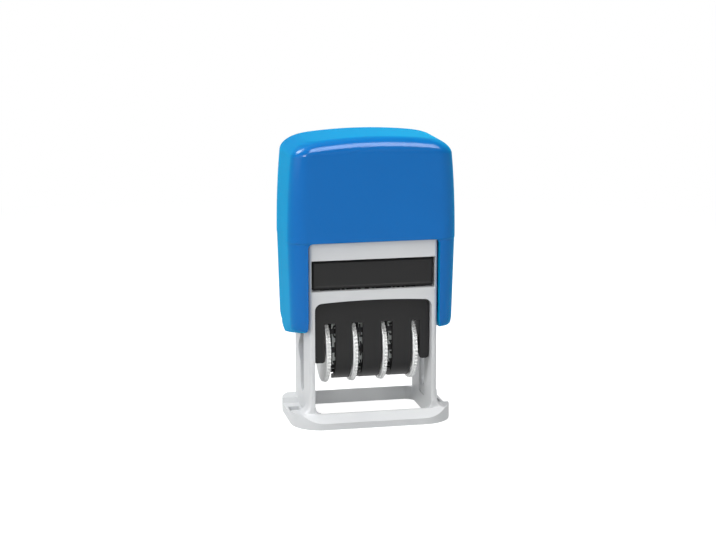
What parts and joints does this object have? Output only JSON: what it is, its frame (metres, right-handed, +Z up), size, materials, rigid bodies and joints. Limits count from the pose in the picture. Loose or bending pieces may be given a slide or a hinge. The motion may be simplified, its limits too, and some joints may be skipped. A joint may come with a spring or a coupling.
{
  "type": "self-inking date stamp",
  "caption": "Self-inking date stamp: pressing the cap turns the date unit over and prints through the open base; toothed thumb wheels set the date.",
  "frame": {"origin": "middle of the base on the table, under the middle of the whole stamp", "axes": "+Z up along the press; X along the printed line; -Y faces the person who turns the date wheels"},
  "size_m": [0.0386, 0.0248, 0.0662],
  "materials": {
    "grey_abs": "satin moulded ABS, light grey",
    "blue_abs": "semi-gloss moulded ABS, blue",
    "black_abs": "fine satin moulded ABS, black",
    "white_acetal": "satin white acetal",
    "band_rubber": "matt moulded rubber",
    "inked_felt": "felt soaked in black ink",
    "spring_steel": "drawn steel wire and rod"
  },
  "bodies": {
    "frame": {"frame": "grey_abs", "press_spring": "spring_steel"},
    "cap": {"cap": "blue_abs"},
    "ink_pad": {"ink_pad_case": "black_abs", "ink_pad_felt": "inked_felt"},
    "date_unit": {"cheek_left": "black_abs", "cheek_right": "black_abs", "front_cover": "black_abs", "band_bridge": "black_abs", "tie_rod": "spring_steel", "wheel_axle": "spring_steel", "axle_spacer_left": "white_acetal", "axle_spacer_right": "white_acetal", "band_day_tens": "band_rubber", "band_day_units": "band_rubber", "band_month": "band_rubber", "band_year": "band_rubber"},
    "wheel_1": {"wheel_1": "white_acetal"},
    "wheel_2": {"wheel_2": "white_acetal"},
    "wheel_3": {"wheel_3": "white_acetal"},
    "wheel_4": {"wheel_4": "white_acetal"}
  },
  "joints": [
    {"name": "cap_press", "type": "slide", "parent": "frame", "child": "cap", "axis": [0, 0, -1], "range_m": [0, 0.0154], "stiffness_N_per_m": 350, "springref_m": -0.012, "deforming": ["press_spring"]},
    {"name": "unit_flip", "type": "hinge", "parent": "cap", "child": "date_unit", "pos_m": [0, 0, 0.0235], "axis": [1, 0, 0], "range_deg": [0, 180]},
    {"name": "pad_slide", "type": "slide", "parent": "frame", "child": "ink_pad", "axis": [0, -1, 0], "range_m": [0, 0.027]},
    {"name": "wheel_1_turn", "type": "hinge", "parent": "date_unit", "child": "wheel_1", "pos_m": [-0.01, -0.00075, 0.01625], "axis": [1, 0, 0], "continuous": true},
    {"name": "wheel_2_turn", "type": "hinge", "parent": "date_unit", "child": "wheel_2", "pos_m": [-0.004, -0.00075, 0.01625], "axis": [1, 0, 0], "continuous": true},
    {"name": "wheel_3_turn", "type": "hinge", "parent": "date_unit", "child": "wheel_3", "pos_m": [0.003, -0.00075, 0.01625], "axis": [1, 0, 0], "continuous": true},
    {"name": "wheel_4_turn", "type": "hinge", "parent": "date_unit", "child": "wheel_4", "pos_m": [0.01, -0.00075, 0.01625], "axis": [1, 0, 0], "continuous": true}
  ],
  "couplings": [
    {"joint": "unit_flip", "follows": "cap_press", "rad_per_m": 203.99}
  ]
}
